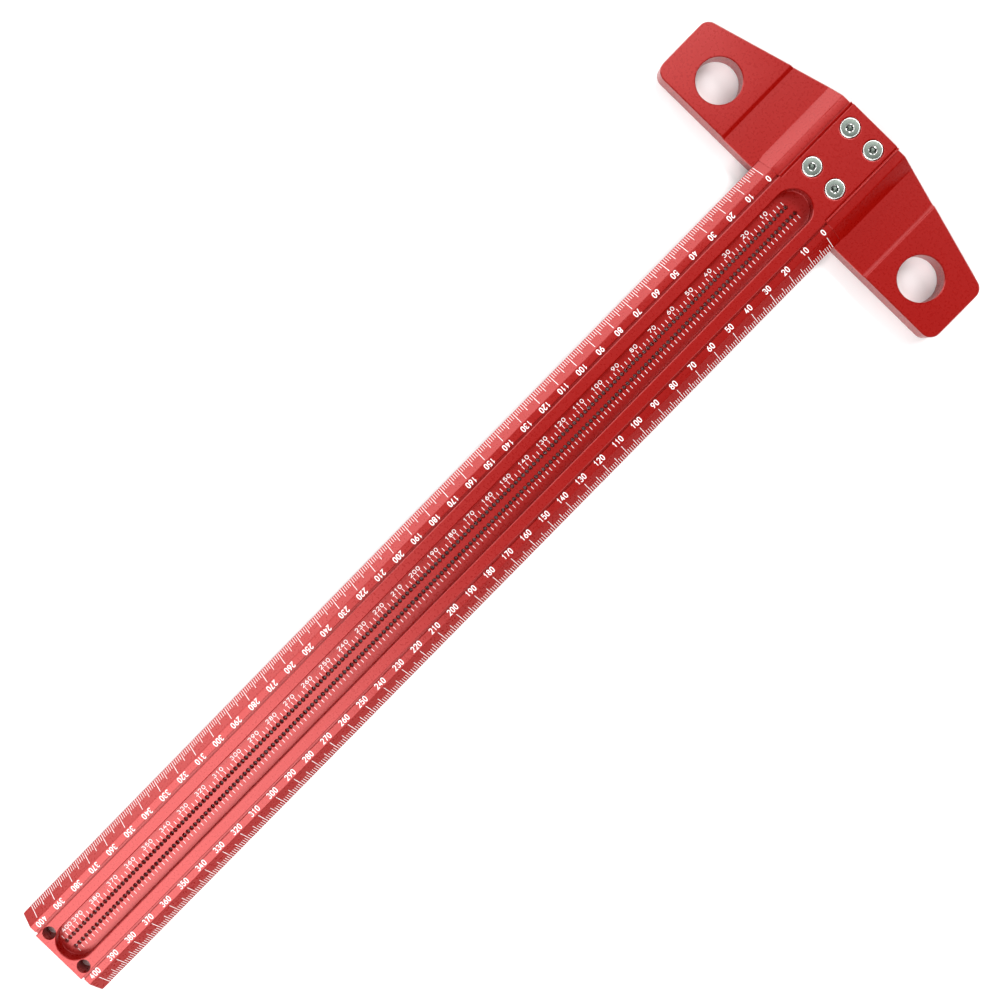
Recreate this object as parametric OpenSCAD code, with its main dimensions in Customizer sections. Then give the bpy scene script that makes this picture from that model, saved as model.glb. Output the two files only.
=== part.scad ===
// T square for marking out: a slotted, bevelled rule screwed across a fence bar.
// Units are millimetres. The origin is where the rule's centre line meets the
// fence face, at the level of the rule's underside: Y runs out along the rule,
// Z points up from the graduated side, and the fence face is the plane Y = 0.

/* [Rule] */
// Graduated length, from the fence face to the last mark
scale_len = 400; // [200:10:400]
// Plain metal beyond the last mark
rule_tip = 4.5; // [3.8:0.1:8]
// Overall width across the two working edges
rule_w = 43.2; // [41:0.2:48]
// Thickness at each working edge
rule_edge_t = 1.2; // [1:0.1:1.8]
// Height of the flat that carries the edge numerals
rule_flat_z = 6; // [5:0.1:6.4]
// Width across the two numeral flats, where the bevels begin
rule_flat_w = 32.4; // [30:0.2:34]
// Overall thickness, to the top of the raised centre land
rule_t = 8; // [7.4:0.1:9]
// Width of the raised centre land
land_w = 24.6; // [24:0.1:25.4]
// Width of the relief groove along each foot of the land
relief_w = 0.9; // [0.4:0.1:1]
// Depth of that relief groove
relief_d = 0.8; // [0.2:0.1:1]
// Length of the rule's flanges that is let into the fence
flange_in = 3.5; // [2:0.5:6]

/* [Slot] */
// Width of the slot
slot_w = 15.4; // [12:0.2:15.4]
// Thickness of the perforated floor of the slot
slot_floor = 2; // [1:0.1:2.4]
// How far the slot runs past the fence face, into the fence
slot_in = 5.8; // [4:0.2:6]
// How far the slot runs past the last mark
slot_out = 2.6; // [2:0.1:3]
// Chamfer in the corner between the slot's floor and its walls
slot_foot = 0.4; // [0.2:0.1:0.6]

/* [Pencil holes] */
// Diameter of each pencil hole at its mouth, in the slot's floor
pencil_d = 1.72; // [1.2:0.02:1.8]
// Diameter of each pencil hole at the rule's underside
pencil_tip_d = 1.1; // [0.8:0.1:1.2]
// Depth of the straight mouth, before the hole tapers
pencil_mouth = 0.6; // [0.2:0.1:0.8]
// Pitch of the holes in one row; the second row lies half a pitch along
pencil_pitch = 2; // [2:2:10]
// Distance of each row from the centre line
pencil_row = 2; // [1.6:0.1:2.4]

/* [Hanging holes at the free end] */
// Diameter of the two holes beside the slot's end
end_hole_d = 5.4; // [3:0.1:5.4]
// Distance between them
end_hole_span = 18.6; // [18.4:0.1:18.8]

/* [Fence] */
// Overall length of the fence
fence_l = 146.4; // [130:0.2:180]
// Depth of the fence at its middle
fence_d = 41.6; // [40:0.2:50]
// Depth of the fence at its two ends
fence_end_d = 27.4; // [25:0.2:35]
// Length of the straight back edge behind the rule
fence_back_w = 44; // [30:1:60]
// Corner radius at the two ends
fence_r = 4.5; // [2:0.5:5]
// How far the fence hangs below the rule's underside
fence_drop = 8; // [8:0.5:14]
// Height of the two end pads above the rule's underside
pad_z = 2.5; // [1.8:0.1:4]
// Distance between the two end pads
pad_gap = 76; // [60:1:80]
// How far the boss stands above the surface of the rule's flanges
boss_rise = 0.3; // [0.2:0.1:0.5]
// Length of the slope at the boss's front that comes down to the flanges
boss_front = 3; // [2:0.5:6]

/* [Wing holes] */
// Diameter of the hole in each wing
wing_hole_d = 18; // [10:0.5:20]
// Distance between the wing holes
wing_hole_span = 107; // [104:1:110]
// Distance of their centres behind the fence face
wing_hole_back = 14.3; // [12:0.1:16]

/* [Tongue and screws] */
// Width of the tongue that lies in the fence
tongue_w = 23.4; // [22.6:0.2:23.6]
// Width of the chamfer along each top edge of the tongue
tongue_ch = 0.5; // [0.3:0.1:0.8]
// Depth of the relief groove across the underside, just inside the fence face
corner_relief = 0.3; // [0.1:0.1:0.5]
// Width of the lip that stands along each side of the tongue
lip_w = 1; // [0.9:0.1:1.4]
// Flat width along the top of each lip; the rest slopes down to the tongue
lip_top = 0.5; // [0.3:0.1:0.7]
// Distance between the two screws of a pair
screw_span_x = 12; // [11:0.5:12.5]
// Distance of the front pair behind the fence face
screw_front = 14.4; // [13:0.1:16]
// Distance between the front pair and the rear pair
screw_span_y = 20; // [14:0.5:21]
// Thread diameter of the screws
screw_d = 4; // [3:0.5:4]
// Diameter of the flat screw head
screw_head_d = 7.5; // [7:0.1:7.6]
// Width across the flats of the hexagon socket
screw_socket = 2.5; // [2:0.5:3]
// Length of each screw
screw_l = 12; // [10:1:13]
// How far the screw heads are sunk below the top of the tongue
screw_sunk = 0.25; // [0.1:0.05:0.4]
// Depth of the straight-sided mouth round each screw head
sink_mouth = 0.9; // [0.5:0.1:1.2]

/* [Hidden] */

eps = 0.01;
gap = 0.1;                       // play between the let-in flanges and their pocket
rule_end = scale_len + rule_tip; // free end of the rule
hw = rule_w / 2;
fw = rule_flat_w / 2;
lw = land_w / 2;
tw = tongue_w / 2;
boss_hw = hw + gap;              // half width of the pocket for the flanges
lip_z = rule_t - 0.1;            // top of the lips beside the tongue
bevel_a = atan2(rule_flat_z - rule_edge_t, hw - fw); // slope of the rule's bevels
holes_per_row = scale_len / pencil_pitch;
screw_top = rule_t - screw_sunk;
sink_r = screw_head_d / 2 + 0.35; // mouth of the countersink in the tongue
screw_clear_r = screw_d / 2 + 0.2;
head_rim = 0.35;                 // height of the straight rim of a screw head

red = [0.66, 0.05, 0.09];
steel = [0.72, 0.74, 0.72];

// A section drawn in X and Z, run along Y from y0 to y1
module along_y(y0, y1) {
    translate([0, y1, 0]) rotate([90, 0, 0]) linear_extrude(y1 - y0) children();
}

// Both halves of a section from the points of its right half, bottom first
module mirrored(right) {
    n = len(right);
    polygon(concat(right, [for (i = [n - 1:-1:0]) [-right[i][0], right[i][1]]]));
}

// ---- rule ----

module rule_section() {
    mirrored([[hw, 0], [hw, rule_edge_t], [fw, rule_flat_z],
              [lw + relief_w, rule_flat_z], [lw + relief_w, rule_flat_z - relief_d],
              [lw, rule_flat_z - relief_d], [lw, rule_t]]);
}

// The slot: a round-ended trough with a small chamfer round its foot
module slot_cut() {
    r = slot_w / 2;
    y0 = -slot_in + r;
    y1 = scale_len + slot_out - r;
    z0 = slot_floor;
    h = rule_t - slot_floor + 1;
    along_y(y0, y1)
        mirrored([[r - slot_foot, z0], [r, z0 + slot_foot], [r, z0 + h]]);
    for (y = [y0, y1]) translate([0, y, z0])
        rotate_extrude($fn = 96)
            polygon([[0, 0], [r - slot_foot, 0], [r, slot_foot], [r, h], [0, h]]);
}

// A pencil hole: a straight mouth, then a taper that guides the point to the board
module pencil_hole() {
    rt = pencil_tip_d / 2;
    rm = pencil_d / 2;
    rotate_extrude($fn = 24)
        polygon([[0, -1], [rt, -1], [rt, 0], [rm, slot_floor - pencil_mouth],
                 [rm, slot_floor + 1], [0, slot_floor + 1]]);
}

module pencil_holes() {
    for (side = [-1, 1], i = [1:holes_per_row])
        translate([side * pencil_row,
                   i * pencil_pitch - (side < 0 ? pencil_pitch / 2 : 0), 0])
            pencil_hole();
}

// Screw places, as [x, y]
function screw_at(front, left) =
    [(left ? -1 : 1) * screw_span_x / 2, -screw_front - (front ? 0 : screw_span_y)];

module countersink(p) {
    zm = rule_t - sink_mouth;    // floor of the straight-sided mouth
    // radius at which the head's cone passes that level
    rc = screw_head_d / 2 - (screw_top - head_rim - zm);
    translate([p[0], p[1], 0]) rotate_extrude($fn = 64)
        polygon([[0, -1], [screw_clear_r, -1],
                 [screw_clear_r, zm - (rc - screw_clear_r)], [rc, zm],
                 [sink_r, zm], [sink_r, rule_t + 1], [0, rule_t + 1]]);
}

module blade() {
    color(red) difference() {
        union() {
            along_y(-flange_in, rule_end) rule_section();
            along_y(-fence_d, 0)
                mirrored([[tw, 0], [tw, rule_t - tongue_ch], [tw - tongue_ch, rule_t]]);
        }
        // relief groove that keeps the corner between rule and fence face clean
        translate([-hw - 1, -0.6, -1]) cube([rule_w + 2, 0.6, 1 + corner_relief]);
        slot_cut();
        pencil_holes();
        for (s = [-1, 1]) translate([s * end_hole_span / 2, scale_len, -1])
            cylinder(d = end_hole_d, h = rule_t + 2, $fn = 64);
        for (f = [true, false], l = [true, false]) countersink(screw_at(f, l));
    }
}

// ---- fence ----

// Outline of the fence seen from above, its end corners rounded
module fence_plan() {
    xe = fence_l / 2;
    xb = fence_back_w / 2;
    r = fence_r;
    // slant of the back edge, used to set the rear corner's round tangent to it
    slant = atan2(fence_d - fence_end_d, xe - xb);
    difference() {
        polygon([[-xe, 0], [-xe, -fence_end_d], [-xb, -fence_d],
                 [xb, -fence_d], [xe, -fence_end_d], [xe, 0]]);
        for (s = [-1, 1]) {
            // front corners
            difference() {
                translate([s > 0 ? xe - r : -xe - 1, -r]) square([r + 1, r + 1]);
                translate([s * (xe - r), -r]) circle(r = r, $fn = 64);
            }
            // rear corners
            t = r * tan((90 - slant) / 2);
            cy = -fence_end_d + t;
            difference() {
                polygon([[s * (xe + 1), cy], [s * (xe - r), cy],
                         [s * (xe - r - r * sin(slant)), cy - r * cos(slant) - 1],
                         [s * (xe + 1), cy - r - 2]]);
                translate([s * (xe - r), cy]) circle(r = r, $fn = 64);
                mirror([s > 0 ? 0 : 1, 0]) polygon([
                    [0, 0], [xe - r, cy],
                    [xe - r - r * sin(slant), cy - r * cos(slant)],
                    [xe - r - r * sin(slant) - 2 * cos(slant),
                     cy - r * cos(slant) - 2 * sin(slant)]]);
            }
        }
    }
}

// Section of the fence across its length: pads, recess and channel
module fence_section() {
    px = pad_gap / 2;
    mirrored([[fence_l / 2 + 1, -fence_drop], [fence_l / 2 + 1, pad_z],
              [px, pad_z], [px - (pad_z - rule_edge_t), rule_edge_t],
              [tw, rule_edge_t], [tw, 0]]);
}

// Section of one side of the boss, which carries the rule's bevel on across the fence
module boss_section() {
    top = rule_flat_z + boss_rise;
    polygon([[fw + gap + (top + 1) / tan(bevel_a), -1], [fw + gap, top],
             [tw + lip_w / 2, top], [tw + lip_w / 2, -1]]);
}

// Section of the lip beside the tongue
module lip_section() {
    polygon([[tw + lip_w, -1], [tw + lip_w, lip_z], [tw + lip_w - lip_top, lip_z],
             [tw, lip_z - (lip_w - lip_top)], [tw, -1]]);
}

// What is cut off one face of the boss so that its front comes down to the rule's
// flanges: a is the face's slope across the rule, x0 and x1 the cut's two ends
// measured along the face from the edge where slope and shoulder meet
module front_cut(a, x0, x1) {
    // it starts a hair below the flanges, so that it never stands proud of them
    translate([fw + gap, -flange_in - gap, rule_flat_z - 0.05]) rotate([0, a, 0])
        rotate([-atan(boss_rise * cos(a) / boss_front), 0, 0])
            translate([x0, -boss_front - 2, 0]) cube([x1 - x0, boss_front + 8, 5]);
}

module boss() {
    difference() {
        along_y(-fence_d - 1, 1) boss_section();
        front_cut(bevel_a, -1, 14);
        front_cut(0, -4, 1);
    }
}

module head() {
    color(red) difference() {
        intersection() {
            union() {
                along_y(-fence_d - 1, 1) fence_section();
                for (m = [0, 1]) mirror([m, 0, 0]) {
                    boss();
                    along_y(-fence_d - 1, 1) lip_section();
                }
            }
            translate([0, 0, -fence_drop - 1])
                linear_extrude(fence_drop + rule_t + 2) fence_plan();
        }
        // pocket that the rule's flanges are let into
        translate([-boss_hw, -flange_in - gap, 0])
            cube([2 * boss_hw, flange_in + gap + 1, rule_t]);
        for (s = [-1, 1]) translate([s * wing_hole_span / 2, -wing_hole_back, -fence_drop - 1])
            cylinder(d = wing_hole_d, h = fence_drop + pad_z + 2, $fn = 96);
        // blind threaded holes for the screws
        for (f = [true, false], l = [true, false])
            translate([screw_at(f, l)[0], screw_at(f, l)[1], screw_top - screw_l - 0.8])
                cylinder(d = screw_d, h = screw_l, $fn = 48);
    }
}

// ---- screws ----

module flat_screw(p) {
    r = screw_d / 2;
    rh = screw_head_d / 2;
    translate([p[0], p[1], screw_top]) difference() {
        rotate_extrude($fn = 64)
            polygon([[0, -screw_l], [r - 0.4, -screw_l], [r, -screw_l + 0.4],
                     [r, -head_rim - (rh - r)], [rh, -head_rim], [rh, 0], [0, 0]]);
        translate([0, 0, -2.2])
            cylinder(d = screw_socket / cos(30), h = 3, $fn = 6);
    }
}

module screw_front_left() { color(steel) flat_screw(screw_at(true, true)); }
module screw_front_right() { color(steel) flat_screw(screw_at(true, false)); }
module screw_rear_left() { color(steel) flat_screw(screw_at(false, true)); }
module screw_rear_right() { color(steel) flat_screw(screw_at(false, false)); }

blade();
head();
screw_front_left();
screw_front_right();
screw_rear_left();
screw_rear_right();
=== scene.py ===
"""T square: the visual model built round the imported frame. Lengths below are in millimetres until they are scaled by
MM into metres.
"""
import math

import bmesh
import bpy
from mathutils import Matrix, Vector


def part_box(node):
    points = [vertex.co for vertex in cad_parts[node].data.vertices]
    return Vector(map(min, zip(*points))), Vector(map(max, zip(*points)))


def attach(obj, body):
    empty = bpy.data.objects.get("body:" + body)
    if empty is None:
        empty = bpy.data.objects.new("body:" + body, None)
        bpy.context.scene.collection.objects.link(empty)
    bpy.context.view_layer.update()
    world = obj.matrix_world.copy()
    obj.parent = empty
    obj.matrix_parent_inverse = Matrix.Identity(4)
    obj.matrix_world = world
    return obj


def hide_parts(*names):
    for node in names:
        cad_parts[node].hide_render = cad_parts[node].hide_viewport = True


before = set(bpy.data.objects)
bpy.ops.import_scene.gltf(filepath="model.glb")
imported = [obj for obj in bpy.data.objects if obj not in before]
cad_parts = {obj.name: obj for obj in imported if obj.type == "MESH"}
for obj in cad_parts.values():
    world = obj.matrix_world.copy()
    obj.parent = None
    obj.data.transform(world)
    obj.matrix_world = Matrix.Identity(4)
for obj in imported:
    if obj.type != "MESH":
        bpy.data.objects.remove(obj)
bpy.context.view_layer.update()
scene = bpy.context.scene
coll = scene.collection

# ------------------------------------------------------------------ sizes, read from the frame where it gives them
MM = 0.001
b_lo, b_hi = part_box("blade")
h_lo, h_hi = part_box("head")
HW = b_hi.x / MM                 # rule half width, 21.6
Y_TIP = b_hi.y / MM              # free end, 404.5
Y_BACK = b_lo.y / MM             # end of the tongue, -41.6
TOP = b_hi.z / MM                # top of the land, 8
FX = h_hi.x / MM                 # fence half length, 73.2
F_BACK = h_lo.y / MM             # back of the fence, -41.6
F_BOT = h_lo.z / MM              # bottom of the fence, -8
EDGE_T = 1.2
FLAT_X, FLAT_Z = 16.2, 6.0
LAND_X = 12.3
RELIEF_W, RELIEF_D = 0.9, 0.8
FLANGE_IN = 3.5
TONGUE_X, TONGUE_CH = 11.7, 0.5
LIP_W, LIP_TOP = 1.0, 0.5
BOSS_RISE, BOSS_FRONT = 0.3, 3.0
SLOT_R = 7.7
SLOT_Y0, SLOT_Y1 = -5.8, 402.6
FLOOR = 2.0
HOLE_R, TIP_R, MOUTH = 0.86, 0.55, 0.6
END_X, END_Y, END_R = 9.3, 400.0, 2.7
PAD_Z, PAD_X = 2.5, 38.0
WING_X, WING_Y, WING_R = 53.5, -14.3, 9.0
SCREWS = {
    "screw_front_left": (-6.0, -14.4),
    "screw_front_right": (6.0, -14.4),
    "screw_rear_left": (-6.0, -34.4),
    "screw_rear_right": (6.0, -34.4),
}
SCREW_TOP = 7.75


# ------------------------------------------------------------------ mesh helpers
def new_object(name, bm):
    me = bpy.data.meshes.new(name)
    bm.to_mesh(me)
    bm.free()
    ob = bpy.data.objects.new(name, me)
    coll.objects.link(ob)
    return ob


def prism(bm, ring, to_point, levels):
    """Closed prism or loft: ring is a list of 2-D outlines (one per level, same count); to_point maps (u, v, level)."""
    loops = []
    for outline, w in zip(ring, levels):
        loops.append([bm.verts.new(to_point(u, v, w)) for u, v in outline])
    n = len(loops[0])
    for a, b in zip(loops, loops[1:]):
        for i in range(n):
            j = (i + 1) % n
            bm.faces.new((a[i], a[j], b[j], b[i]))
    bm.faces.new(list(reversed(loops[0])))
    bm.faces.new(loops[-1])
    return loops


def xz_prism(bm, outline, y0, y1):
    prism(bm, [outline, outline], lambda u, v, w: (u, w, v), [y0, y1])


def xy_prism(bm, outline, z0, z1):
    prism(bm, [outline, outline], lambda u, v, w: (u, v, w), [z0, z1])


def xy_loft(bm, outlines, zs):
    prism(bm, outlines, lambda u, v, w: (u, v, w), zs)


def tidy(bm):
    bmesh.ops.recalc_face_normals(bm, faces=bm.faces[:])
    return bm


def arc(cx, cy, r, a0, a1, n):
    return [(cx + r * math.cos(math.radians(a0 + (a1 - a0) * i / n)),
             cy + r * math.sin(math.radians(a0 + (a1 - a0) * i / n))) for i in range(n + 1)]


def stadium(r, y0, y1, n=24):
    """Round-ended slot outline of radius r, its end centres at y0 and y1."""
    return arc(0, y1, r, 0, 180, n) + arc(0, y0, r, 180, 360, n)


def circle(cx, cy, r, n):
    return [(cx + r * math.cos(2 * math.pi * i / n), cy + r * math.sin(2 * math.pi * i / n)) for i in range(n)]


def mirrored(right):
    return right + [(-x, z) for x, z in reversed(right)]


def boolean(target, cutter, op, solver="MANIFOLD"):
    m = target.modifiers.new("bool", "BOOLEAN")
    m.operation = op
    m.object = cutter
    try:
        m.solver = solver
    except TypeError:
        m.solver = "EXACT"
    bake(target)
    me = cutter.data
    bpy.data.objects.remove(cutter)
    bpy.data.meshes.remove(me)


def bake(ob):
    """Applies every modifier on ob."""
    bpy.context.view_layer.update()
    dg = bpy.context.evaluated_depsgraph_get()
    me = bpy.data.meshes.new_from_object(ob.evaluated_get(dg), preserve_all_data_layers=True, depsgraph=dg)
    ob.modifiers.clear()
    old = ob.data
    ob.data = me
    bpy.data.meshes.remove(old)


def dissolve(ob, angle=0.5, dist=1e-4):
    """Merges coplanar faces so that a bevel sees only real edges."""
    bm = bmesh.new()
    bm.from_mesh(ob.data)
    bmesh.ops.remove_doubles(bm, verts=bm.verts[:], dist=dist)
    bmesh.ops.dissolve_limit(bm, angle_limit=math.radians(angle), verts=bm.verts[:], edges=bm.edges[:],
                             delimit={"NORMAL"})
    bm.to_mesh(ob.data)
    bm.free()


def bevel(ob, width, segments=1, angle=30.0, small_at=lambda p: False):
    """Breaks the outer edges sharper than angle, less where small_at says so; inside corners stay crisp."""
    bm = bmesh.new()
    bm.from_mesh(ob.data)
    bmesh.ops.recalc_face_normals(bm, faces=bm.faces[:])
    layer = bm.edges.layers.float.get("bevel_weight_edge") or bm.edges.layers.float.new("bevel_weight_edge")
    for e in bm.edges:
        sharp = len(e.link_faces) == 2 and e.is_convex and e.calc_face_angle() > math.radians(angle)
        mid = (e.verts[0].co + e.verts[1].co) / 2
        small = mid.z < 1.4 or small_at(mid)
        e[layer] = (0.45 if small else 1.0) if sharp else 0.0
    bm.to_mesh(ob.data)
    bm.free()
    m = ob.modifiers.new("bevel", "BEVEL")
    m.width = width
    m.segments = segments
    m.limit_method = "WEIGHT"
    m.miter_outer = "MITER_SHARP"
    m.use_clamp_overlap = False
    m.harden_normals = False
    bake(ob)


def finish_mesh(ob, name, sharp=34.0):
    """To metres, smooth where the surface is round, flat where it is flat."""
    ob.data.transform(Matrix.Scale(MM, 4))
    bm = bmesh.new()
    bm.from_mesh(ob.data)
    bmesh.ops.remove_doubles(bm, verts=bm.verts[:], dist=2e-7)
    bmesh.ops.dissolve_degenerate(bm, edges=bm.edges[:], dist=1e-7)
    bmesh.ops.recalc_face_normals(bm, faces=bm.faces[:])
    bm.to_mesh(ob.data)
    bm.free()
    ob.data.shade_smooth()
    ob.data.set_sharp_from_angle(angle=math.radians(sharp))
    w = ob.modifiers.new("weighted", "WEIGHTED_NORMAL")
    w.mode = "FACE_AREA"
    w.weight = 60
    w.keep_sharp = True
    ob.name = name
    ob.data.name = name
    return ob


# ------------------------------------------------------------------ blade
def rule_outline():
    k = math.hypot(HW - FLAT_X, FLAT_Z - EDGE_T)
    ux, uz = (HW - FLAT_X) / k, (FLAT_Z - EDGE_T) / k      # down the bevel
    groove, low, c = LAND_X + RELIEF_W, FLAT_Z - RELIEF_D, 0.32
    right = [(HW - 0.1, 0.0), (HW, 0.1), (HW, EDGE_T),
             (FLAT_X + ux * 0.14, FLAT_Z - uz * 0.14), (FLAT_X - 0.14, FLAT_Z),   # the edges broken by a light chamfer
             (groove + 0.16, FLAT_Z), (groove, FLAT_Z - 0.16),
             (groove, low), (LAND_X, low), (LAND_X, TOP - c), (LAND_X - c, TOP)]
    return mirrored(right)


def make_blade():
    bm = bmesh.new()
    xz_prism(bm, rule_outline(), -FLANGE_IN, Y_TIP)
    body = new_object("blade_body", tidy(bm))
    bm = bmesh.new()
    xz_prism(bm, mirrored([(TONGUE_X, 0.0), (TONGUE_X, TOP - TONGUE_CH), (TONGUE_X - TONGUE_CH, TOP)]), Y_BACK, 0.05)
    boolean(body, new_object("tongue", tidy(bm)), "UNION", "EXACT")
    # end holes
    bm = bmesh.new()
    for s in (-1, 1):
        xy_prism(bm, circle(s * END_X, END_Y, END_R, 48), -1, TOP + 1)
    boolean(body, new_object("end_holes", tidy(bm)), "DIFFERENCE", "EXACT")
    dissolve(body)

    # slot: filleted foot, plain walls, broken edge at its mouth
    r, f, lip = SLOT_R, 0.3, 0.3
    y0, y1 = SLOT_Y0 + r, SLOT_Y1 - r
    prof = [(r - f + f * math.sin(math.radians(a)), FLOOR + f - f * math.cos(math.radians(a))) for a in (0, 22.5, 45, 67.5, 90)]
    prof.append((r, TOP - lip))
    # last stroke runs on past the surface so that the cut is clean
    (xa, za) = prof[-1]
    xb, zb = r + lip, TOP
    prof.append((xa + (xb - xa) * 4, za + (zb - za) * 4))
    bm = bmesh.new()
    xy_loft(bm, [stadium(p[0], y0, y1, 32) for p in prof], [p[1] for p in prof])
    boolean(body, new_object("slot", tidy(bm)), "DIFFERENCE", "EXACT")

    # countersinks for the four screws
    bm = bmesh.new()
    for x, y in SCREWS.values():
        prof = [(2.2, -1.0), (2.2, 5.85), (3.45, 7.1), (4.02, 7.1), (4.1, 7.18), (4.1, 7.84), (4.44, 8.0), (4.87, 8.2)]
        xy_loft(bm, [circle(x, y, p[0], 48) for p in prof], [p[1] for p in prof])
    boolean(body, new_object("sinks", tidy(bm)), "DIFFERENCE", "EXACT")

    # two rows of pencil holes
    bm = bmesh.new()
    prof = [(TIP_R, -0.3), (TIP_R, 0.0), (HOLE_R, FLOOR - MOUTH), (HOLE_R, FLOOR - 0.08), (HOLE_R + 0.5, FLOOR + 0.42)]
    for side in (-1, 1):
        for i in range(1, 201):
            y = 2.0 * i - (1.0 if side < 0 else 0.0)
            xy_loft(bm, [circle(side * 2.0, y, p[0], 20) for p in prof], [p[1] for p in prof])
    boolean(body, new_object("pencil", tidy(bm)), "DIFFERENCE")
    assert len(body.data.polygons) > 5000, "the rule was lost in a cut"
    return finish_mesh(body, "blade_rule")


# ------------------------------------------------------------------ head
def fence_outline():
    r = 4.5
    foot = FLAT_X + 0.1 + (HW - FLAT_X) / (FLAT_Z - EDGE_T) * (FLAT_Z + BOSS_RISE - EDGE_T)   # where the boss's slope ends
    xb, yb, ye = foot, F_BACK, -27.4
    slant = math.degrees(math.atan2(yb - ye, -(FX - xb)))  # direction from (FX, ye) to (xb, yb)
    s = math.degrees(math.atan2(-(yb - ye), FX - xb))      # slope of the slanted edge, about 15.5 degrees
    t = r * math.tan(math.radians((90 - s) / 2))
    pts = arc(FX - r, -r, r, 90, 0, 10)                    # front right corner
    pts += arc(FX - r, ye + t, r, 0, -(90 - s), 8)         # rear right corner
    pts += [(xb, yb)]
    left = [(-x, y) for x, y in reversed(pts)]
    return pts + left


def make_head():
    step = PAD_Z - EDGE_T
    run = (HW - FLAT_X) / (FLAT_Z - EDGE_T)                # how far the bevel runs out for each unit that it drops
    top = FLAT_Z + BOSS_RISE
    lip_z = TOP - 0.1
    right = [(FX + 1, F_BOT), (FX + 1, PAD_Z), (PAD_X, PAD_Z), (PAD_X - step, EDGE_T), (TONGUE_X, EDGE_T), (TONGUE_X, 0.0)]
    bm = bmesh.new()
    xz_prism(bm, mirrored(right), F_BACK - 1, 1.0)
    body = new_object("head_body", tidy(bm))
    for sgn in (1, -1):
        # boss: two stretches, the front one dropping to the rule's surface
        y1 = -FLANGE_IN - 0.03
        bm = bmesh.new()

        def boss(drop):
            t = top - drop
            return [(sgn * (FLAT_X + 0.1 + run * (t + 1.0) ), -1.0), (sgn * (FLAT_X + 0.1), t), (sgn * (TONGUE_X + LIP_W / 2), t),
                    (sgn * (TONGUE_X + LIP_W / 2), -1.0)]
        k = (BOSS_RISE + 0.05) / BOSS_FRONT
        prism(bm, [boss(0.0), boss(0.0), boss(k * BOSS_FRONT), boss(k * (BOSS_FRONT + 1.5))],
              lambda u, v, w: (u, w, v), [F_BACK - 1, y1 - BOSS_FRONT, y1, y1 + 1.5])
        boolean(body, new_object("boss", tidy(bm)), "UNION", "EXACT")
        bm = bmesh.new()
        xz_prism(bm, [(sgn * (TONGUE_X + LIP_W), -1.0), (sgn * (TONGUE_X + LIP_W), lip_z), (sgn * (TONGUE_X + LIP_W - LIP_TOP), lip_z),
                      (sgn * TONGUE_X, lip_z - (LIP_W - LIP_TOP)), (sgn * TONGUE_X, -1.0)], F_BACK - 1, 1.0)
        boolean(body, new_object("lip", tidy(bm)), "UNION", "EXACT")
    bm = bmesh.new()
    xy_prism(bm, fence_outline(), F_BOT - 1, TOP + 2)
    boolean(body, new_object("plan", tidy(bm)), "INTERSECT", "EXACT")
    bm = bmesh.new()
    x, y = HW + 0.1, -FLANGE_IN - 0.03
    xy_prism(bm, [(-x, y), (x, y), (x, 2.0), (-x, 2.0)], 0.0, TOP + 1)
    boolean(body, new_object("pocket", tidy(bm)), "DIFFERENCE", "EXACT")
    bm = bmesh.new()
    for sgn in (-1, 1):
        xy_prism(bm, circle(sgn * WING_X, WING_Y, WING_R, 96), F_BOT - 1, PAD_Z + 1)
    boolean(body, new_object("wings", tidy(bm)), "DIFFERENCE", "EXACT")
    bm = bmesh.new()
    for x, y in SCREWS.values():
        xy_prism(bm, circle(x, y, 2.0, 32), -5.05, 3.0)
    boolean(body, new_object("taps", tidy(bm)), "DIFFERENCE", "EXACT")
    dissolve(body, dist=0.02)
    bevel(body, 0.36, 1, 22.0, small_at=lambda p: abs(p.x) < 13.2 or p.z < -7.0 or (abs(p.x) < 22.5 and -4.5 < p.y < -3.0 and p.z > 0.5))
    return finish_mesh(body, "head_fence")


# ------------------------------------------------------------------ screws
def make_screw(name, x, y, turn):
    n = 64
    prof = [(0.0, -12.0), (1.6, -12.0), (2.0, -11.6), (2.0, -2.1), (3.66, -0.44), (3.73, -0.36), (3.75, -0.28), (3.75, -0.12),
            (3.72, -0.06), (3.62, -0.01), (3.42, 0.0), (3.36, -0.02), (3.3, 0.0), (1.68, 0.0)]
    bm = bmesh.new()
    loops = []
    for r, z in prof:
        if r == 0.0:
            loops.append([bm.verts.new((x, y, SCREW_TOP + z))])
        else:
            loops.append([bm.verts.new((x + r * math.cos(2 * math.pi * i / n), y + r * math.sin(2 * math.pi * i / n), SCREW_TOP + z))
                          for i in range(n)])
    for a, b in zip(loops, loops[1:]):
        for i in range(n):
            j = (i + 1) % n
            if len(a) == 1:
                bm.faces.new((a[0], b[j], b[i]))
            else:
                bm.faces.new((a[i], a[j], b[j], b[i]))
    bm.faces.new(loops[-1])
    ob = new_object(name + "_body", tidy(bm))
    # hexagon socket with a lead-in chamfer and a drilled cone at its bottom
    af = 2.5
    bm = bmesh.new()

    def hexagon(flat, k=1.0):
        out = []
        for i in range(n):
            a = 2 * math.pi * i / n
            local = (a + math.radians(turn)) % (math.pi / 3) - math.pi / 6
            rr = flat / 2 / math.cos(local)
            rr = rr * k + (1 - k) * flat / 2
            out.append((x + rr * math.cos(a), y + rr * math.sin(a)))
        return out

    cone = [circle(x, y, 0.12, n), circle(x, y, 1.18, n)]
    xy_loft(bm, [cone[0], cone[1], hexagon(af - 0.02), hexagon(af), hexagon(af), circle(x, y, af / math.sqrt(3) + 0.12, n), circle(x, y, af / math.sqrt(3) + 0.42, n)],
            [SCREW_TOP + v for v in (-2.85, -2.25, -2.22, -2.2, -0.17, 0.0, 0.3)])
    boolean(ob, new_object("hex", tidy(bm)), "DIFFERENCE", "EXACT")
    return finish_mesh(ob, name + "_cap", 30.0)


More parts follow.
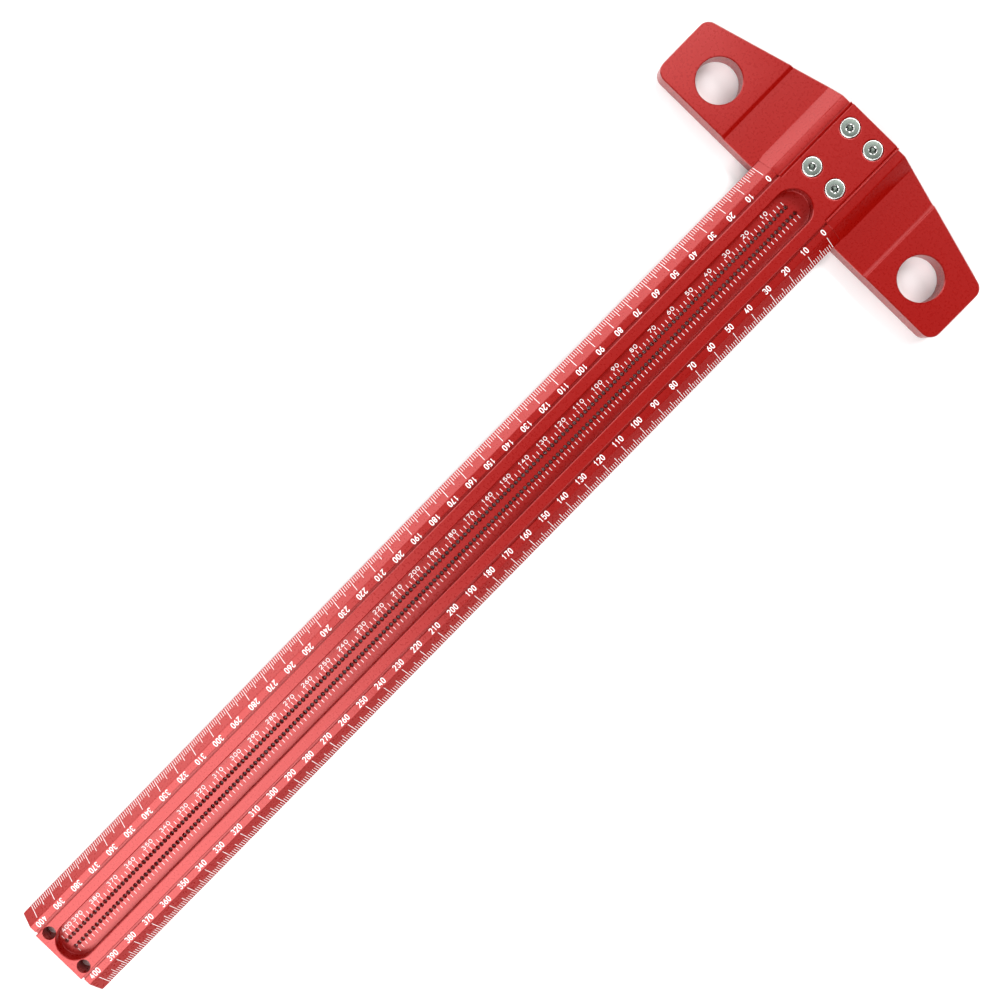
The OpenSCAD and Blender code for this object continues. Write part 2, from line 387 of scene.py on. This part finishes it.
# ------------------------------------------------------------------ scale marks
MARK_UP, MARK_IN = 0.022, 0.012   # how far the white marks stand above, and reach into, the surface


def slab(bm, o, u, v, w, a0, a1, b0, b1):
    """Thin box: o + u*[a0, a1] + v*[b0, b1] + w*[-MARK_IN, MARK_UP]."""
    vs = []
    for c in (-MARK_IN, MARK_UP):
        for a, b in ((a0, b0), (a1, b0), (a1, b1), (a0, b1)):
            vs.append(bm.verts.new(o + u * a + v * b + w * c))
    for f in ((3, 2, 1, 0), (4, 5, 6, 7), (0, 1, 5, 4), (1, 2, 6, 5), (2, 3, 7, 6), (3, 0, 4, 7)):
        bm.faces.new([vs[i] for i in f])


def bow(cx, cy, rx, ry, a0, a1, n=12, p=2.0):
    """Points along a part of an oval; p over 2 squares its shoulders."""
    out = []
    for i in range(n + 1):
        a = math.radians(a0 + (a1 - a0) * i / n)
        c, d = math.cos(a), math.sin(a)
        out.append((cx + rx * math.copysign(abs(c) ** (2 / p), c), cy + ry * math.copysign(abs(d) ** (2 / p), d)))
    return out


def skeletons():
    """Centre lines of the figures in a box 1 wide and 1 high: lists of (points, closed)."""
    six = [((0.80, 1.0), (0.50, 0.86), (0.24, 0.66), (0.05, 0.44), (0.0, 0.31)), False]
    eye = [tuple(bow(0.5, 0.30, 0.5, 0.30, 0, 345, 23)), True]
    return {
        "0": [(bow(0.5, 0.5, 0.5, 0.5, 0, 348, 29, 2.35), True)],
        "1": [([(0.62, 0.0), (0.62, 1.0), (0.06, 0.70)], False)],
        "2": [(bow(0.5, 0.72, 0.47, 0.28, 172, -28, 14) + [(0.62, 0.36), (0.02, 0.0), (1.0, 0.0)], False)],
        "3": [(bow(0.46, 0.765, 0.44, 0.235, 158, -82, 14) + bow(0.47, 0.27, 0.53, 0.27, 84, -158, 16), False)],
        "4": [([(1.0, 0.27), (0.0, 0.27), (0.66, 1.0)], False), ([(0.74, 0.60), (0.74, 0.0)], False)],
        "5": [([(0.92, 1.0), (0.17, 1.0), (0.08, 0.53)] + bow(0.48, 0.325, 0.52, 0.325, 128, -155, 18), False)],
        "6": [(list(six[0]), False), (list(eye[0]), True)],
        "7": [([(0.0, 1.0), (1.0, 1.0), (0.34, 0.0)], False)],
        "8": [(bow(0.5, 0.765, 0.43, 0.235, 0, 345, 23), True), (bow(0.5, 0.27, 0.5, 0.27, 0, 345, 23), True)],
        "9": [([(1 - x, 1 - y) for x, y in six[0]], False), ([(1 - x, 1 - y) for x, y in eye[0]], True)],
    }


def thick(bm, pts, closed, half):
    """A flat stroke of half width half along pts, as a closed slab from -1 to 1, with mitred corners."""
    n = len(pts)
    left, right = [], []
    for i, p in enumerate(pts):
        a = pts[i - 1] if i > 0 or closed else None
        b = pts[(i + 1) % n] if i < n - 1 or closed else None
        d1 = Vector((p[0] - a[0], p[1] - a[1])).normalized() if a else None
        d2 = Vector((b[0] - p[0], b[1] - p[1])).normalized() if b else None
        d1, d2 = d1 or d2, d2 or d1
        t = (d1 + d2)
        t = t.normalized() if t.length > 0.2 else d1
        nrm = Vector((-t.y, t.x))
        k = min(1.0 / max(nrm.dot(Vector((-d1.y, d1.x))), 0.35), 2.2)
        left.append((p[0] + nrm.x * half * k, p[1] + nrm.y * half * k))
        right.append((p[0] - nrm.x * half * k, p[1] - nrm.y * half * k))
    rings = []
    for (lx, ly), (rx, ry) in zip(left, right):
        rings.append([bm.verts.new(c) for c in ((lx, ly, -1), (rx, ry, -1), (rx, ry, 1), (lx, ly, 1))])
    m = n if closed else n - 1
    for i in range(m):
        a, b = rings[i], rings[(i + 1) % n]
        for j in range(4):
            k = (j + 1) % 4
            bm.faces.new((a[j], a[k], b[k], b[j]))
    if not closed:
        bm.faces.new(rings[0])
        bm.faces.new(list(reversed(rings[-1])))


def digit_meshes(width, height, stroke):
    """The ten figures at their real size as (vertices, faces), middle at the origin."""
    out = {}
    for ch, strokes in skeletons().items():
        w, h = width - stroke, height - stroke
        if ch == "1":
            w *= 0.62
        obs = []
        for pts, closed in strokes:
            bm = bmesh.new()
            thick(bm, [((x - 0.5) * w, (y - 0.5) * h) for x, y in pts], closed, stroke / 2)
            obs.append(new_object("stroke", tidy(bm)))
        for extra in obs[1:]:
            boolean(obs[0], extra, "UNION", "EXACT")
        bm = bmesh.new()
        bm.from_mesh(obs[0].data)
        bmesh.ops.remove_doubles(bm, verts=bm.verts[:], dist=1e-5)
        bmesh.ops.recalc_face_normals(bm, faces=bm.faces[:])
        bm.verts.index_update()
        out[ch] = ([v.co.copy() for v in bm.verts], [[v.index for v in f.verts] for f in bm.faces])
        bm.free()
        me = obs[0].data
        bpy.data.objects.remove(obs[0])
        bpy.data.meshes.remove(me)
    return out


def label(bm, figs, text, centre, along, up, out, pitch):
    """Writes text with its middle at centre; pitch is the advance between figures."""
    for k, ch in enumerate(text):
        vs, fs = figs[ch]
        a0 = (k - (len(text) - 1) / 2) * pitch
        made = []
        for v in vs:
            c = -MARK_IN if v.z < 0 else MARK_UP
            made.append(bm.verts.new(centre + along * (a0 + v.x) + up * v.y + out * c))
        for f in fs:
            bm.faces.new([made[i] for i in f])


def make_marks():
    x, y, z = Vector((1, 0, 0)), Vector((0, 1, 0)), Vector((0, 0, 1))
    edge_figs = digit_meshes(1.42, 2.5, 0.36)
    slot_figs = digit_meshes(1.45, 1.7, 0.26)
    ticks = bmesh.new()
    figs = bmesh.new()
    slant = Vector((FLAT_X - HW, 0, FLAT_Z - EDGE_T)).normalized()
    for s in (1, -1):
        d = Vector((slant.x * s, 0, slant.z))               # up the bevel, from its edge inwards
        nrm = Vector((slant.z * s, 0, -slant.x))            # out of the bevel
        foot = Vector((s * HW, 0, EDGE_T))
        for i in range(401):
            ln, wd = (6.4, 0.22) if i % 10 == 0 else (4.4, 0.20) if i % 5 == 0 else (2.75, 0.18)
            o = foot + y * float(i)
            slab(ticks, o, d, y, nrm, 0.16, ln, -wd / 2, wd / 2)
        for i in range(0, 401, 10):
            c = Vector((s * 14.5, i - 0.3, FLAT_Z))
            label(figs, edge_figs, str(i), c, y * s, -x * s, z, 1.66)
    for i in range(1, 401):
        s = 1 if i % 2 == 0 else -1
        o = Vector((0, i, FLOOR))
        slab(ticks, o, x * s, y, z, 3.2, 4.7, -0.1, 0.1)
    for i in range(10, 400, 10):
        c = Vector((5.86, i, FLOOR))
        label(figs, slot_figs, str(i), c, -y, x, z, 1.9)
    label(figs, slot_figs, "400", Vector((5.86, 396.0, FLOOR)), -y, x, z, 1.7)   # moved in, clear of the slot's round end
    out = []
    for bm, nm in ((ticks, "scale_ticks"), (figs, "scale_numerals")):
        bmesh.ops.recalc_face_normals(bm, faces=bm.faces[:])
        ob = new_object(nm, bm)
        ob.data.transform(Matrix.Scale(MM, 4))
        out.append(ob)
    return out


# ------------------------------------------------------------------ materials
class Nodes:
    def __init__(self, name):
        self.mat = bpy.data.materials.new(name)
        self.mat.use_nodes = True
        self.t = self.mat.node_tree
        self.t.nodes.clear()
        self.out = self.t.nodes.new("ShaderNodeOutputMaterial")
        self.bsdf = self.t.nodes.new("ShaderNodeBsdfPrincipled")
        self.t.links.new(self.bsdf.outputs[0], self.out.inputs[0])
        self.coord = self.t.nodes.new("ShaderNodeTexCoord").outputs["Object"]

    def add(self, kind, **props):
        n = self.t.nodes.new(kind)
        for k, v in props.items():
            setattr(n, k, v)
        return n

    def link(self, a, b):
        self.t.links.new(a, b)

    def noise(self, scale, detail=2.0, rough=0.5, vec=None):
        n = self.add("ShaderNodeTexNoise")
        n.inputs["Scale"].default_value = scale
        n.inputs["Detail"].default_value = detail
        n.inputs["Roughness"].default_value = rough
        self.link(vec or self.coord, n.inputs["Vector"])
        return n.outputs["Fac"]

    def span(self, fac, a0, a1, b0, b1):
        n = self.add("ShaderNodeMapRange")
        for k, v in zip(("From Min", "From Max", "To Min", "To Max"), (a0, a1, b0, b1)):
            n.inputs[k].default_value = v
        self.link(fac, n.inputs["Value"])
        return n.outputs["Result"]

    def math(self, op, a, b):
        n = self.add("ShaderNodeMath", operation=op)
        for s, v in zip(n.inputs, (a, b)):
            if isinstance(v, (int, float)):
                s.default_value = v
            else:
                self.link(v, s)
        return n.outputs[0]

    def ramp(self, fac, stops):
        n = self.add("ShaderNodeValToRGB")
        e = n.color_ramp.elements
        while len(e) > 1:
            e.remove(e[-1])
        e[0].position, e[0].color = stops[0][0], (*stops[0][1], 1)
        for p, c in stops[1:]:
            k = e.new(p)
            k.color = (*c, 1)
        self.link(fac, n.inputs["Fac"])
        return n.outputs["Color"]

    def bump(self, height, dist, strength=1.0, normal=None):
        n = self.add("ShaderNodeBump")
        n.inputs["Distance"].default_value = dist
        n.inputs["Strength"].default_value = strength
        self.link(height, n.inputs["Height"])
        if normal is not None:
            self.link(normal, n.inputs["Normal"])
        return n.outputs["Normal"]


def anodised():
    m = Nodes("anodised_red")
    b = m.bsdf
    fine = m.noise(3800, 2.0, 0.6)      # blasted grain, about a quarter of a millimetre
    mid = m.noise(900, 3.0, 0.55)
    broad = m.noise(28, 2.0, 0.5)
    tone = m.math("ADD", m.math("MULTIPLY", fine, 0.5), m.math("ADD", m.math("MULTIPLY", mid, 0.3), m.math("MULTIPLY", broad, 0.2)))
    col = m.ramp(tone, [(0.30, (0.270, 0.0023, 0.0009)), (0.50, (0.291, 0.0028, 0.0012)), (0.72, (0.314, 0.0037, 0.0017))])
    m.link(col, b.inputs["Base Color"])
    b.inputs["Metallic"].default_value = 0.22
    m.link(m.span(mid, 0.25, 0.75, 0.26, 0.30), b.inputs["Roughness"])
    b.inputs["IOR"].default_value = 1.5
    n1 = m.bump(mid, 0.00002, 0.08)
    m.link(m.bump(fine, 0.00001, 0.2, n1), b.inputs["Normal"])
    return m.mat


def steel(name, dark, light, r0, r1):
    m = Nodes(name)
    b = m.bsdf
    grain = m.noise(2600, 3.0, 0.6)
    broad = m.noise(420, 2.0, 0.5)
    col = m.ramp(m.math("ADD", m.math("MULTIPLY", grain, 0.5), m.math("MULTIPLY", broad, 0.5)),
                 [(0.3, dark), (0.7, light)])
    m.link(col, b.inputs["Base Color"])
    b.inputs["Metallic"].default_value = 1.0
    m.link(m.span(grain, 0.3, 0.7, r0, r1), b.inputs["Roughness"])
    m.link(m.bump(grain, 0.00002, 0.4), b.inputs["Normal"])
    return m.mat


def white_mark():
    m = Nodes("laser_white")
    b = m.bsdf
    grain = m.noise(5200, 2.0, 0.6)
    broad = m.noise(120, 2.0, 0.5)
    col = m.ramp(m.math("ADD", m.math("MULTIPLY", grain, 0.6), m.math("MULTIPLY", broad, 0.4)),
                 [(0.3, (0.74, 0.70, 0.70)), (0.7, (0.92, 0.90, 0.90))])
    m.link(col, b.inputs["Base Color"])
    b.inputs["Roughness"].default_value = 0.6
    m.link(m.bump(grain, 0.00001, 0.3), b.inputs["Normal"])
    return m.mat


def floor_mat():
    m = Nodes("floor_white")
    b = m.bsdf
    col = m.ramp(m.noise(6, 2.0, 0.5), [(0.3, (0.89, 0.89, 0.89)), (0.7, (0.91, 0.91, 0.91))])
    m.link(col, b.inputs["Base Color"])
    b.inputs["Roughness"].default_value = 0.9
    return m.mat


def dress(ob, mat):
    ob.data.materials.clear()
    ob.data.materials.append(mat)


RED, WHITE = anodised(), white_mark()
STEEL = steel("screw_steel", (0.125, 0.150, 0.130), (0.185, 0.210, 0.188), 0.40, 0.52)
# a much lighter copy of the screw steel: partly the turned finish of the rim, partly a painted highlight on the rim and
# in the socket's lead-in
TURNED_STEEL_AND_PAINTED_HIGHLIGHT = steel("screw_steel_turned_painted_highlight", (0.60, 0.60, 0.58), (0.74, 0.74, 0.72), 0.22, 0.34)

blade = make_blade()
dress(blade, RED)
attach(blade, "root")
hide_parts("blade")

head = make_head()
dress(head, RED)
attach(head, "root")
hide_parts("head")

for k, (nm, (sx, sy)) in enumerate(SCREWS.items()):
    cap = make_screw(nm, sx, sy, (11, 34, 52, 23)[k])
    dress(cap, STEEL)
    cap.data.materials.append(TURNED_STEEL_AND_PAINTED_HIGHLIGHT)
    for f in cap.data.polygons:                             # the rim and the socket's lead-in get the light steel: partly the rim's turned finish, partly a painted highlight
        d = math.hypot(f.center.x / MM - sx, f.center.y / MM - sy)
        if f.center.z / MM > SCREW_TOP - 0.4 and (d > 3.38 or d < 1.62):
            f.material_index = 1
    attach(cap, "root")
    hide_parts(nm)

for ob in make_marks():
    dress(ob, WHITE)
    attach(ob, "root")

for nm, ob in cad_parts.items():
    dress(ob, STEEL if nm.startswith("screw") else RED)

# ------------------------------------------------------------------ floor: the object rests on the fence's lower front edge and the rule's free end
rest_low = Vector((0, 0, F_BOT * MM))
tilt = math.atan2(-F_BOT, Y_TIP)
bm = bmesh.new()
s = 3.0
vs = [bm.verts.new(p) for p in ((-s, -s, 0), (s, -s, 0), (s, s, 0), (-s, s, 0))]
bm.faces.new(vs)
floor = new_object("floor", bm)
floor.matrix_world = Matrix.Translation(rest_low) @ Matrix.Rotation(tilt, 4, "X")
dress(floor, floor_mat())

# ------------------------------------------------------------------ light
world = bpy.data.worlds.new("studio")
scene.world = world
world.use_nodes = True
bg = world.node_tree.nodes["Background"]
bg.inputs["Color"].default_value = (1, 1, 1, 1)
bg.inputs["Strength"].default_value = 0.0


def area(name, loc, facing, sx, sy, radiance):
    """A soft panel at loc facing along facing; sx is its size along X (or along Y for an upright one)."""
    li = bpy.data.lights.new(name, "AREA")
    li.shape = "RECTANGLE"
    li.size, li.size_y = sx, sy
    li.energy = radiance * math.pi * sx * sy
    ob = bpy.data.objects.new(name, li)
    coll.objects.link(ob)
    ob.location = loc
    ob.rotation_euler = Vector(facing).to_track_quat("-Z", "Y").to_euler()
    return ob


# a bright overhead panel past the free end, small ones past the +X wing and behind the fence, and two low windows
area("panel_tip", (-0.42, 1.07, 1.3), (0, 0, -1), 1.6, 1.2, 6.7)
area("panel_side", (0.38, -0.33, 1.3), (0, 0, -1), 0.42, 0.7, 6.0)
area("panel_back", (0.05, -1.35, 1.3), (0, 0.2, -1), 1.6, 1.0, 8.5)
area("window", (1.5, 0.2, 0.43), (-1, 0, -0.1), 1.7, 0.84, 4.0)
area("window_far", (-1.5, 0.85, 0.25), (1, -0.2, 0), 1.0, 0.5, 0.7)

# ------------------------------------------------------------------ camera
cam = bpy.data.cameras.new("camera")
cam_ob = bpy.data.objects.new("camera", cam)
coll.objects.link(cam_ob)
cam_ob.matrix_world = Matrix((
    (-0.7164867, 0.6974271, 0.0155650, 0.0426142),
    (-0.6970771, -0.7149061, -0.0547060, 0.1301011),
    (-0.0270259, -0.0500461, 0.9983811, 0.6001007),
    (0, 0, 0, 1)))
cam.sensor_width = 36.0
cam.lens = 56.137
cam.shift_x, cam.shift_y = 0.06957, -0.04654
cam.clip_start = 0.01
scene.camera = cam_ob
scene.view_settings.view_transform = "Standard"
scene.view_settings.look = "None"

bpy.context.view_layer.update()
